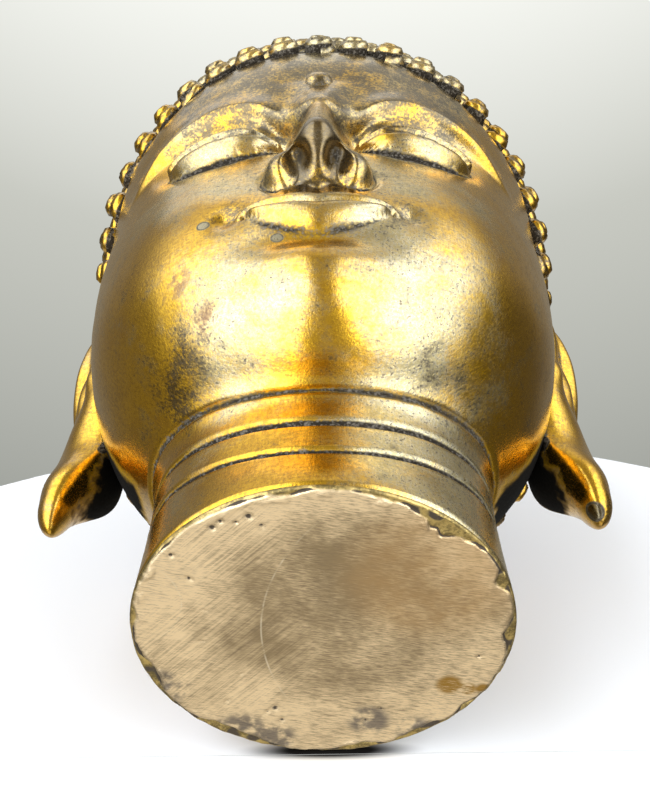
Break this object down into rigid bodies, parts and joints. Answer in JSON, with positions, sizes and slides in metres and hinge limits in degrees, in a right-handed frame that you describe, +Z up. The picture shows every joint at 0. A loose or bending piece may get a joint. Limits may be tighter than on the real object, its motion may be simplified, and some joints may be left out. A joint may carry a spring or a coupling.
{
  "type": "buddha head",
  "caption": "Cast brass Buddha head with snail curls, crown bump, long flaring ear lobes and three neck lines, closed below by a brazed flat sheet it stands on.",
  "frame": {"origin": "middle of the underside of the sheet that closes the neck, where the head stands", "axes": "+Z up through the neck to the crown, -Y the way the face looks, +X to the left ear of the head"},
  "size_m": [0.2068, 0.2276, 0.3102],
  "materials": {
    "cast_brass": "hand-polished cast brass, gold on the high places, grey-green and brown patina in the hollows, fine scratches",
    "plate_brass": "brushed pinkish sheet brass with brown stains, pits and a ragged brazed edge"
  },
  "bodies": {
    "root": {"head": "cast_brass", "base_plate": "plate_brass"}
  },
  "joints": []
}
